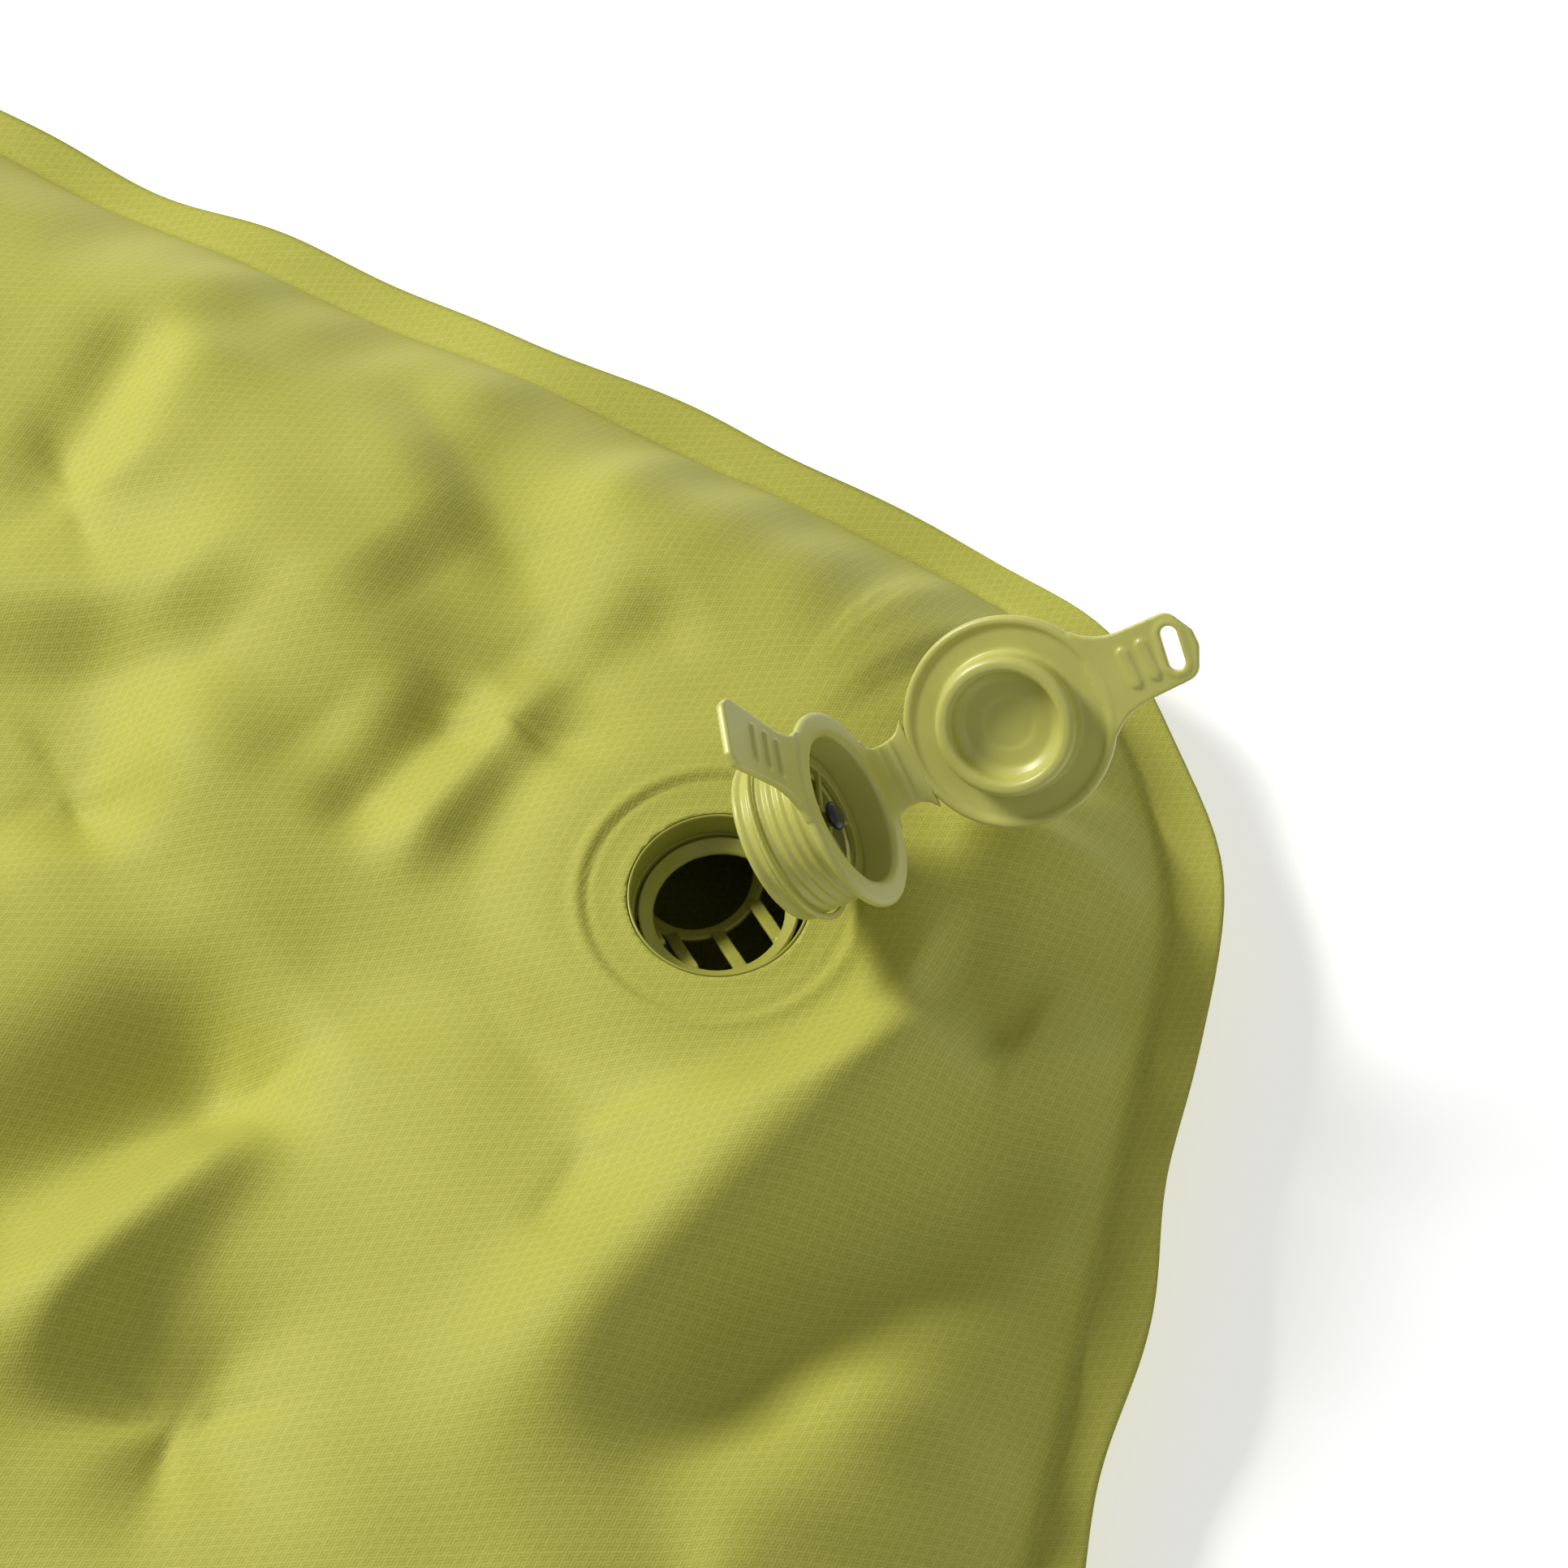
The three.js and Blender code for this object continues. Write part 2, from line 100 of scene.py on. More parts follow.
def math_node(nt, op, a, b=None):
    made = nt.nodes.new("ShaderNodeMath")
    made.operation = op
    for i, v in enumerate((a, b)):
        if v is None:
            continue
        if isinstance(v, (int, float)):
            made.inputs[i].default_value = v
        else:
            nt.links.new(v, made.inputs[i])
    return made.outputs[0]


def fabric_material():
    """Crepe weave with a fine ripstop grid over a slightly mottled colour."""
    mat, nt, bsdf = new_material("pad_fabric")
    coord = node(nt, "ShaderNodeTexCoord").outputs["Object"]
    mapping = node(nt, "ShaderNodeMapping")
    mapping.inputs["Rotation"].default_value = (0, 0, math.radians(VALVE_TURN))
    nt.links.new(coord, mapping.inputs["Vector"])
    split = node(nt, "ShaderNodeSeparateXYZ")
    nt.links.new(mapping.outputs[0], split.inputs[0])
    x, y = split.outputs[0], split.outputs[1]

    def stripes(value, period):
        wave = math_node(nt, "SINE", math_node(nt, "MULTIPLY", value, 2 * math.pi / period))
        return math_node(nt, "MULTIPLY", math_node(nt, "ADD", wave, 1.0), 0.5)

    diag_a = math_node(nt, "ADD", x, math_node(nt, "MULTIPLY", y, 0.62))
    diag_b = math_node(nt, "SUBTRACT", x, math_node(nt, "MULTIPLY", y, 0.62))
    fine_a = stripes(diag_a, 0.00062)
    fine_b = stripes(diag_b, 0.00062)
    patch = stripes(y, 0.0019)
    weave = math_node(nt, "ADD", math_node(nt, "MULTIPLY", fine_a, patch),
                      math_node(nt, "MULTIPLY", fine_b, math_node(nt, "SUBTRACT", 1.0, patch)))
    rip_a = math_node(nt, "POWER", stripes(diag_a, 0.0021), 6.0)
    rip_b = math_node(nt, "POWER", stripes(diag_b, 0.0021), 6.0)
    rip = math_node(nt, "MAXIMUM", rip_a, rip_b)
    grain = node(nt, "ShaderNodeTexNoise")
    grain.inputs["Scale"].default_value = 1500
    grain.inputs["Detail"].default_value = 3
    nt.links.new(coord, grain.inputs["Vector"])
    height = math_node(nt, "ADD", math_node(nt, "MULTIPLY", weave, 0.5),
                       math_node(nt, "ADD", math_node(nt, "MULTIPLY", rip, 0.2),
                                 math_node(nt, "MULTIPLY", grain.outputs[0], 0.55)))
    mottled = node(nt, "ShaderNodeTexNoise")
    mottled.inputs["Scale"].default_value = 14
    mottled.inputs["Detail"].default_value = 4
    nt.links.new(coord, mottled.inputs["Vector"])
    mix = node(nt, "ShaderNodeMapRange")
    nt.links.new(math_node(nt, "ADD", math_node(nt, "MULTIPLY", height, 0.7),
                           math_node(nt, "MULTIPLY", mottled.outputs[0], 0.3)), mix.inputs[0])
    mix.inputs[1].default_value = 0.2
    mix.inputs[2].default_value = 1.0
    ramp = node(nt, "ShaderNodeValToRGB")
    ramp.color_ramp.elements[0].color = (0.34, 0.335, 0.036, 1)
    ramp.color_ramp.elements[1].color = (0.56, 0.55, 0.125, 1)
    nt.links.new(mix.outputs[0], ramp.inputs[0])
    nt.links.new(ramp.outputs[0], bsdf.inputs["Base Color"])
    bump = node(nt, "ShaderNodeBump")
    bump.inputs["Strength"].default_value = 0.42
    bump.inputs["Distance"].default_value = 0.00012
    nt.links.new(height, bump.inputs["Height"])
    nt.links.new(bump.outputs[0], bsdf.inputs["Normal"])
    bsdf.inputs["Roughness"].default_value = 0.62
    bsdf.inputs["Specular IOR Level"].default_value = 0.18
    bsdf.inputs["Sheen Weight"].default_value = 0.02
    bsdf.inputs["Sheen Roughness"].default_value = 0.45
    bsdf.inputs["Sheen Tint"].default_value = (0.9, 0.9, 0.55, 1)
    return mat


def moulded_material(name, low, high, rough, scale=90):
    """Satin moulded plastic: faint flow mottling and a very fine skin."""
    mat, nt, bsdf = new_material(name)
    coord = node(nt, "ShaderNodeTexCoord").outputs["Object"]
    flow = node(nt, "ShaderNodeTexNoise")
    flow.inputs["Scale"].default_value = scale
    flow.inputs["Detail"].default_value = 3
    nt.links.new(coord, flow.inputs["Vector"])
    ramp = node(nt, "ShaderNodeValToRGB")
    ramp.color_ramp.elements[0].position = 0.25
    ramp.color_ramp.elements[1].position = 0.75
    ramp.color_ramp.elements[0].color = (*low, 1)
    ramp.color_ramp.elements[1].color = (*high, 1)
    nt.links.new(flow.outputs[0], ramp.inputs[0])
    nt.links.new(ramp.outputs[0], bsdf.inputs["Base Color"])
    rough_map = node(nt, "ShaderNodeMapRange")
    nt.links.new(flow.outputs[0], rough_map.inputs[0])
    rough_map.inputs[3].default_value = rough - 0.05
    rough_map.inputs[4].default_value = rough + 0.07
    nt.links.new(rough_map.outputs[0], bsdf.inputs["Roughness"])
    skin = node(nt, "ShaderNodeTexNoise")
    skin.inputs["Scale"].default_value = 2600
    nt.links.new(coord, skin.inputs["Vector"])
    bump = node(nt, "ShaderNodeBump")
    bump.inputs["Strength"].default_value = 0.12
    bump.inputs["Distance"].default_value = 0.00006
    nt.links.new(skin.outputs[0], bump.inputs["Height"])
    nt.links.new(bump.outputs[0], bsdf.inputs["Normal"])
    bsdf.inputs["Subsurface Weight"].default_value = 0.08
    bsdf.inputs["Subsurface Radius"].default_value = (0.6, 0.6, 0.15)
    bsdf.inputs["Subsurface Scale"].default_value = 0.001
    return mat


FABRIC = fabric_material()
SATIN = moulded_material("satin_moulding", (0.47, 0.46, 0.105), (0.55, 0.54, 0.14), 0.36)
BORE = moulded_material("bore_moulding", (0.33, 0.325, 0.05), (0.40, 0.39, 0.07), 0.33)
FLAP = moulded_material("flap_silicone", (0.14, 0.14, 0.04), (0.19, 0.18, 0.05), 0.5)
STEM = moulded_material("stem_plastic", (0.010, 0.011, 0.017), (0.018, 0.019, 0.028), 0.3)


# ---------- mesh helpers ----------
def make_object(name, verts, faces, mat, scale=MM):
    mesh = bpy.data.meshes.new(name)
    mesh.from_pydata([tuple(float(c) * scale for c in v) for v in verts], [], [tuple(f) for f in faces])
    mesh.validate()
    mesh.materials.append(mat)
    obj = bpy.data.objects.new(name, mesh)
    bpy.context.collection.objects.link(obj)
    return obj


def outward(obj):
    bm = bmesh.new()
    bm.from_mesh(obj.data)
    bmesh.ops.remove_doubles(bm, verts=bm.verts, dist=1e-7)
    bmesh.ops.recalc_face_normals(bm, faces=bm.faces)
    bm.to_mesh(obj.data)
    bm.free()


def apply_modifiers(obj):
    deps = bpy.context.evaluated_depsgraph_get()
    mesh = bpy.data.meshes.new_from_object(obj.evaluated_get(deps))
    obj.modifiers.clear()
    obj.data = mesh


def soften(obj, voxel, rounds, factor=0.5):
    """Joins the overlapping closed shells of obj and rounds every edge a little."""
    outward(obj)
    remesh = obj.modifiers.new("remesh", "REMESH")
    remesh.mode = "VOXEL"
    remesh.voxel_size = voxel * MM
    smooth = obj.modifiers.new("smooth", "SMOOTH")
    smooth.factor = factor
    smooth.iterations = rounds
    apply_modifiers(obj)
    for poly in obj.data.polygons:
        poly.use_smooth = True


def ring_shell(profile, seg=144):
    """Closed profile of (r, z) points turned about Z."""
    verts, faces = [], []
    n = len(profile)
    for j in range(seg):
        a = 2 * math.pi * j / seg
        verts += [(r * math.cos(a), r * math.sin(a), z) for r, z in profile]
    for j in range(seg):
        k = (j + 1) % seg
        for i in range(n):
            m = (i + 1) % n
            faces.append((j * n + i, k * n + i, k * n + m, j * n + m))
    return verts, faces


def prism(outline, z0, z1, bend=None):
    """Flat plate of an outline, between two heights, with every corner passed through bend if one is given.
    """
    n = len(outline)
    verts = [(x, y, z0) for x, y in outline] + [(x, y, z1) for x, y in outline]
    if bend:
        verts = [bend(v) for v in verts]
    faces = [tuple(range(n))[::-1], tuple(range(n, 2 * n))]
    faces += [(i, (i + 1) % n, n + (i + 1) % n, n + i) for i in range(n)]
    return verts, faces


def arc(cx, cy, r, a0, a1, count=10):
    return [(cx + r * math.cos(math.radians(a0 + (a1 - a0) * i / count)),
             cy + r * math.sin(math.radians(a0 + (a1 - a0) * i / count))) for i in range(count + 1)]


def pill(x, y, length, width):
    h = length / 2 - width / 2
    return arc(x, y - h, width / 2, 180, 360) + arc(x, y + h, width / 2, 0, 180)


def curve(p0, p1, p2, count=8):
    out = []
    for i in range(count + 1):
        t = i / count
        out.append(tuple((1 - t) ** 2 * a + 2 * t * (1 - t) * b + t * t * c for a, b, c in zip(p0, p1, p2)))
    return out


def joined(name, shells, matrix, mat):
    verts, faces = [], []
    for v, f in shells:
        base = len(verts)
        verts += [tuple(matrix @ Vector(p)) for p in v]
        faces += [tuple(base + i for i in face) for face in f]
    return make_object(name, verts, faces, mat)


# ---------- pad ----------
def rounded_outline(steps=24):
    pts = []
    n = len(OUTLINE)
    for i, (x, y, r) in enumerate(OUTLINE):
        p = np.array(OUTLINE[i - 1][:2], float)
        q = np.array([x, y], float)
        e = np.array(OUTLINE[(i + 1) % n][:2], float)
        d1 = (q - p) / np.linalg.norm(q - p)
        d2 = (e - q) / np.linalg.norm(e - q)
        ang = math.acos(np.clip(d1 @ d2, -1, 1))
        start = q - d1 * r * math.tan(ang / 2)
        c = start + np.array([-d1[1], d1[0]]) * r
        a0 = math.atan2(start[1] - c[1], start[0] - c[0])
        for k in range(steps + 1):
            a = a0 + ang * k / steps
            pts.append((c[0] + r * math.cos(a), c[1] + r * math.sin(a)))
    return np.array(pts)


EDGE = rounded_outline()


def half_width(y):
    """Half the pad's width at each y."""
    right = EDGE[EDGE[:, 0] > 0]
    right = right[np.argsort(right[:, 1])]
    return np.interp(y, right[:, 1], right[:, 0])


def edge_distance(x, y):
    """Distance in from the outline, and how far along it the nearest point lies."""
    best = np.full(x.shape, 1e9)
    along = np.zeros(x.shape)
    a = EDGE
    b = np.roll(EDGE, -1, axis=0)
    run = 0.0
    for p, q in zip(a, b):
        d = q - p
        length = float(np.hypot(*d))
        if length < 1e-6:
            continue
        t = np.clip(((x - p[0]) * d[0] + (y - p[1]) * d[1]) / length ** 2, 0, 1)
        dist = np.hypot(x - p[0] - t * d[0], y - p[1] - t * d[1])
        near = dist < best
        best = np.where(near, dist, best)
        along = np.where(near, run + t * length, along)
        run += length
    return best, along


def local(x, y):
    """Pad coordinates to coordinates about the valve."""
    c, s = math.cos(math.radians(VALVE_TURN)), math.sin(math.radians(VALVE_TURN))
    dx, dy = x - VALVE_AT[0], y - VALVE_AT[1]
    return dx * c + dy * s, -dx * s + dy * c


def smoothstep(t):
    t = np.clip(t, 0, 1)
    return t * t * (3 - 2 * t)


def fold(lx, ly, p0, p1, width, height, skew=0.0):
    """A soft ridge or valley from p0 to p1, fading at both ends; skew makes one side steeper."""
    ax, ay = p0
    dx, dy = p1[0] - ax, p1[1] - ay
    length = math.hypot(dx, dy)
    t = ((lx - ax) * dx + (ly - ay) * dy) / length ** 2
    d = ((lx - ax) * -dy + (ly - ay) * dx) / length
    fade = smoothstep((t + 0.25) / 0.45) * smoothstep((1.25 - t) / 0.45)
    w = width * np.where(d > 0, 1 + skew, 1 - skew)
    return height * fade * np.exp(-(d / w) ** 2)


# Spot welds near the valve, as (x, y, depth) about it, then the regular staggered rest.
NEAR_WELDS = [(-43.0, 41.0, 5.5), (-128.0, 92.0, 5.5), (53.0, -25.0, 4.5),
              (-90.0, -32.0, 4.5), (-24.0, -54.0, 0.8), (-126.0, 32.0, 4.5)]
# Folds about the valve: start, end, width, height, skew. All heights are scaled by FOLD_DEPTH.
FOLD_DEPTH = 1.3
FOLDS = [
    ((-37, 43), (-59, 11), 10.5, 6.0, -0.3),
    ((-49, 43), (-70, 18), 9.5, -5.5, 0.2),
    ((-60, 74), (-36, 52), 16.0, -3.5, 0.0),
    ((-30, 48), (-8, 62), 9.0, -2.2, 0.0),
    ((-87, -24), (-140, -64), 19.0, -13.0, 0.0),
    ((-86, -43), (-118, -84), 11.0, 8.5, -0.2),
    ((-84, -6), (-20, -28), 14.0, -4.0, 0.0),
    ((40, -22), (-34, -94), 16.0, 10.0, 0.0),
    ((62, -42), (-6, -96), 15.0, -11.0, 0.0),
    ((40, -12), (54, -20), 12.0, -6.5, 0.0),
    ((5, -36), (-22, -48), 5.0, 1.2, 0.3),
    ((-22, -48), (-31, -64), 5.0, -0.9, 0.3),
    ((46, 14), (92, 30), 13.0, 4.0, 0.0),
    ((62, -2), (96, 6), 9.0, -3.5, 0.0),
    ((56, -26), (88, -12), 6.0, 3.5, 0.0),
    ((-116, 134), (-132, 96), 9.0, -5.0, 0.0),
    ((-106, 132), (-124, 92), 15.0, 4.0, 0.0),
    ((-60, 122), (-34, 70), 13.0, -5.0, 0.25),
    ((-70, 70), (-100, 20), 26.0, 5.0, 0.0),
    ((-30, 100), (30, 70), 22.0, 4.5, 0.0),
    ((-120, 60), (-118, 20), 14.0, -6.0, 0.0),
    ((70, 40), (46, 60), 9.0, -3.0, 0.0),
    ((84, -60), (70, -110), 12.0, 5.0, 0.0),
    ((64, 0), (92, -34), 10.0, 3.5, 0.0),
    ((-100, 62), (-72, 34), 15.0, -5.0, 0.0),
    ((-140, 60), (-150, 10), 16.0, -6.5, 0.0),
]


def weld_points(rng):
    """Every spot weld of the pad as pad coordinates."""
    c, s = math.cos(math.radians(VALVE_TURN)), math.sin(math.radians(VALVE_TURN))
    pts = [(VALVE_AT[0] + x * c - y * s, VALVE_AT[1] + x * s + y * c) for x, y, _ in NEAR_WELDS]
    row = 0
    y = 817.0
    while y > -860:
        x0 = 0 if row % 2 == 0 else 52
        for k in range(-4, 5):
            x = x0 + 104 * k + rng.uniform(-3, 3)
            if abs(x) > half_width(np.array([y]))[0] - 48:
                continue
            if math.hypot(x - VALVE_AT[0], y - VALVE_AT[1]) < 60:
                continue
            if min(math.hypot(x - px, y - py) for px, py in pts) < 50:
                continue
            pts.append((x, y + rng.uniform(-3, 3)))
        y -= 74
        row += 1
    return pts


def top_height(x, y, rng, welds):
    s, along = edge_distance(x, y)
    lx, ly = local(x, y)
    r = np.hypot(lx, ly)
    field = np.full(x.shape, 57.0)
    for i, (wx, wy) in enumerate(welds):
        dx, dy = x - wx, y - wy
        d = np.hypot(dx, dy)
        a = np.arctan2(dy, dx)
        spokes = 1 + 0.16 * np.sin(3 * a + i * 1.9) + 0.08 * np.sin(5 * a + i * 0.7)
        near = i < len(NEAR_WELDS)
        deep = NEAR_WELDS[i][2] if near else 11.0
        field -= deep * np.exp(-(d / (17.0 * spokes if near else 21.0 * spokes)) ** 1.5)
        crease = np.maximum(0, np.cos(2.0 * (a - i * 2.4))) ** 10
        crease += 0.7 * np.maximum(0, np.cos(1.5 * (a - i * 1.3))) ** 14
        field -= 0.2 * deep * crease * np.exp(-(d / 24.0) ** 2) * smoothstep(d / 7)
    waves = np.zeros(x.shape)
    for i in range(22):
        ang = rng.uniform(0, 2 * math.pi)
        length = rng.uniform(34, 190)
        phase = rng.uniform(0, 2 * math.pi)
        bend = rng.uniform(0.5, 1.6)
        u = x * math.cos(ang) + y * math.sin(ang)
        v = -x * math.sin(ang) + y * math.cos(ang)
        waves += length / 190 * np.sin(2 * math.pi * u / length + phase + bend * np.sin(v / 61 + phase * 2))
    field += 0.95 * waves
    for p0, p1, width, height, skew in FOLDS:
        field += FOLD_DEPTH * fold(lx, ly, p0, p1, width, height, skew)
    rise = np.sin(np.pi / 2 * np.clip((s - WELD) / 54.0, 0, 1)) ** 0.86
    pucker = np.zeros(x.shape)
    for i in range(9):
        length = rng.uniform(17, 70)
        phase = rng.uniform(0, 6.28)
        lean = 0.012 * s * rng.uniform(-3, 3)
        pucker += length / 60 * np.sin(2 * math.pi * along / length + phase + lean)
    rim = SEAM_Z + 0.6 + flange_wave(along)
    h = rim * (1 - rise) + field * rise
    h += 1.15 * pucker * np.exp(-((s - 34) / 22.0) ** 2) * smoothstep((s - WELD) / 8)
    h -= 0.7 * np.exp(-((s - WELD) / 1.3) ** 2)
    flat = smoothstep((r - 27.0) / 20.0)
    h = TOP_Z * (1 - flat) + h * flat
    h += 0.55 * np.exp(-((r - 26.2) / 1.3) ** 2) - 0.75 * np.exp(-((r - 24.3) / 0.75) ** 2)
    h -= 0.35 * smoothstep((24.0 - r) / 2.0)
    h += 0.25 * np.exp(-((r - 17.6) / 0.8) ** 2)
    return h


def flange_wave(along):
    return 1.7 * np.sin(along / 23.0 + 1.1 * np.sin(along / 61.0)) + 1.2 * np.sin(along / 11.3 + 2.0)


def under_height(x, y, welds):
    s, along = edge_distance(x, y)
    rise = np.sin(np.pi / 2 * np.clip((s - WELD) / 42.0, 0, 1))
    h = (SEAM_Z - 0.5 + flange_wave(along)) * (1 - rise)
    for wx, wy in welds:
        h += 3.4 * np.exp(-(np.hypot(x - wx, y - wy) / 15.0) ** 2) * rise
    h += 0.8 * np.sin(along / 7.0 + np.sin(along / 19.0)) * np.exp(-((s - 26) / 10.0) ** 2)
    return np.maximum(h, 0.05)


def gather_rim(x, y):
    """The welded rim drawn in unevenly, as the weld gathers the fabric."""
    s, along = edge_distance(x, y)
    dx, dy = -x, np.clip(y, -700, 700) - y
    length = np.maximum(np.hypot(dx, dy), 1e-6)
    pull = 1.7 + 1.1 * np.sin(along / 19.0 + 1.3 * np.sin(along / 47.0)) + 0.6 * np.sin(along / 8.3)
    pull *= 1 - smoothstep(s / 34.0)
    return x + pull * dx / length, y + pull * dy / length


def spaced(breaks):
    """Grid lines through (from, to, step) stretches."""
    out = []
    for lo, hi, step in breaks:
        n = max(1, round((hi - lo) / step))
        out += list(np.linspace(lo, hi, n, endpoint=False))
    out.append(breaks[-1][1])
    return np.array(out)


def pad():
    rng = np.random.default_rng(11)
    welds = weld_points(np.random.default_rng(3))
    fine = 1.0
    us = spaced([(-275, -40, 5.0), (-40, 20, 2.6), (20, 107, 1.4), (107, 181, fine), (181, 275, 1.4)]) / 275.0
    vs = spaced([(-915, -860, 3.0), (-860, 560, 6.0), (560, 690, 2.6), (690, 760, 1.4),
                 (760, 836, fine), (836, 915, 1.4)])
    u, v = np.meshgrid(us, vs)
    x = u * half_width(v)
    x, y = gather_rim(x.ravel(), v.ravel())
    rows, cols = v.shape
    lx, ly = local(x, y)
    r = np.hypot(lx, ly)
    inside = r < HOLE_R
    index = np.arange(rows * cols).reshape(rows, cols)
    quads = np.stack([index[:-1, :-1], index[:-1, 1:], index[1:, 1:], index[1:, :-1]], -1).reshape(-1, 4)
    keep = ~inside[quads].all(axis=1)
    top_quads = quads[keep]
    pull = np.where(inside & (r > 0.1), HOLE_R / np.maximum(r, 0.1), 1.0)
    c, s_ = math.cos(math.radians(VALVE_TURN)), math.sin(math.radians(VALVE_TURN))
    tx = VALVE_AT[0] + (lx * c - ly * s_) * pull
    ty = VALVE_AT[1] + (lx * s_ + ly * c) * pull
    tz = top_height(tx, ty, rng, welds)
    uz = under_height(x, y, welds)
    border = np.zeros((rows, cols), bool)
    border[0, :] = border[-1, :] = border[:, 0] = border[:, -1] = True
    border = border.ravel()
    tz = np.where(border, uz + 0.9, tz)
    n = rows * cols
    verts = np.concatenate([np.stack([tx, ty, tz], 1), np.stack([x, y, uz], 1)])
    faces = [tuple(q) for q in top_quads] + [tuple(q[::-1] + n) for q in quads]
    loop = list(index[0, :]) + list(index[1:, -1]) + list(index[-1, -2::-1]) + list(index[-2:0:-1, 0])
    for a, b in zip(loop, loop[1:] + loop[:1]):
        faces.append((b, a, a + n, b + n))
    edge_use = {}
    for q in top_quads:
        for i in range(4):
            a, b = int(q[i]), int(q[(i + 1) % 4])
            key = (min(a, b), max(a, b))
            edge_use[key] = edge_use.get(key, 0) + 1
    rim = {}
    rim_edges = [k for k, count in edge_use.items() if count == 1 and not (border[k[0]] and border[k[1]])]
    verts = [tuple(p) for p in verts]
    for k in rim_edges:
        for i in k:
            if i not in rim:
                px, py, pz = verts[i]
                rim[i] = len(verts)
                verts.append((px, py, pz - 0.6))
    directed = set()
    for q in top_quads:
        for i in range(4):
            directed.add((int(q[i]), int(q[(i + 1) % 4])))
    for a, b in rim_edges:
        if (a, b) not in directed:
            a, b = b, a
        faces.append((b, a, rim[a], rim[b]))
    obj = make_object("pad_skin", verts, faces, FABRIC)
    bm = bmesh.new()
    bm.from_mesh(obj.data)
    loose = [vert for vert in bm.verts if not vert.link_faces]
    bmesh.ops.delete(bm, geom=loose, context="VERTS")
    bm.to_mesh(obj.data)
    bm.free()
    for poly in obj.data.polygons:
        poly.use_smooth = True
    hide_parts("top_panel", "top_panel_valve_area", "under_panel")
    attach(obj, "pad")
    return obj


# ---------- valve mouldings ----------
def valve_base():
    lip = [(16.25, -0.45), (16.4, -0.1), (16.75, -0.1), (16.85, -0.5), (16.85, -0.95)]
    flange = [(24.3, -0.95), (24.4, -1.9), (18.0, -1.9)]
    wall = [(18.0, -7.4), (17.2, -8.2), (17.2, -13.6), (15.6, -13.6)]
    wall += [(15.6, -6.8), (15.9, -6.2), (16.2, -6.1)]
    profile = lip + flange + wall
    v, f = ring_shell(profile, 160)
    obj = joined("socket", [(v, f)], VALVE, BORE)
    outward(obj)
    bevel = obj.modifiers.new("bevel", "BEVEL")
    bevel.width = 0.15 * MM
    bevel.segments = 2
    bevel.limit_method = "ANGLE"
    apply_modifiers(obj)
    for poly in obj.data.polygons:
        poly.use_smooth = True
    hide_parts("valve_base")
    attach(obj, "pad")


def tab_bend(v):
    """The pull tab sags a little towards the socket side."""
    x, y, z = v
    t = max(0.0, -x - 19.0)
    return x, y, z - 0.0023 * t * t + 0.0009 * y * y * min(1, t / 6)


def stopper():
    outer = [(13.8, -0.7), (14.3, -0.15), (15.0, 0), (17.8, 0), (18.5, -0.5), (18.5, -1.5),
             (17.9, -2.0), (15.6, -2.2), (14.9, -3.0)]
    for i in range(5):
        z = -4.2 - i * 2.05
        outer += [(14.65, z), (15.25, z - 0.5), (15.25, z - 1.1), (14.65, z - 1.6)]
    outer += [(14.6, -14.6), (15.3, -15.2), (15.4, -15.8), (14.9, -16.4), (13.4, -16.4), (13.0, -16.0)]
    outer += [(13.0, -9.6), (11.6, -8.8), (11.6, -7.9), (13.8, -7.9)]
    left = [(-16.4, -9.2)] + curve((-16.4, -8.6), (-19.6, -6.0), (-25, -5.7))
    left += curve((-38, -6.7), (-40, -6.9), (-40, -4.8))
    xs = np.linspace(-16.4, -40, 15)
    ys = np.interp(xs[::-1], [p[0] for p in left[::-1]], [abs(p[1]) for p in left[::-1]])[::-1]
    ys[-1] = 4.9
    cross = 7
    verts, faces = [], []
    for z in (-1.8, -0.3):
        for px, py in zip(xs, ys):
            for k in range(cross):
                verts.append(tab_bend((px, py * (2 * k / (cross - 1) - 1), z)))
    per = len(xs) * cross
    for i in range(len(xs) - 1):
        for k in range(cross - 1):
            a = i * cross + k
            faces.append((a, a + 1, a + cross + 1, a + cross))
            faces.append((per + a, per + a + cross, per + a + cross + 1, per + a + 1))
    for i in range(len(xs) - 1):
        for k in (0, cross - 1):
            a = i * cross + k
            faces.append((a, a + cross, per + a + cross, per + a))
    for k in range(cross - 1):
        for i in (0, len(xs) - 1):
            a = i * cross + k
            faces.append((a, a + 1, per + a + 1, per + a))
    shells = [ring_shell(outer, 160), (verts, faces)]
    for x in (24.5, 28.2, 31.9):
        shells.append(prism(pill(-x, 0, 7.4, 1.6), -0.9, 0.25, tab_bend))
        shells.append(prism(pill(-x, 0, 7.4, 1.6), -2.35, -1.5, tab_bend))
    obj = joined("stopper_body", shells, STOPPER, SATIN)
    soften(obj, 0.27, 7)
    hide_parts("stopper")
    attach(obj, "stopper")


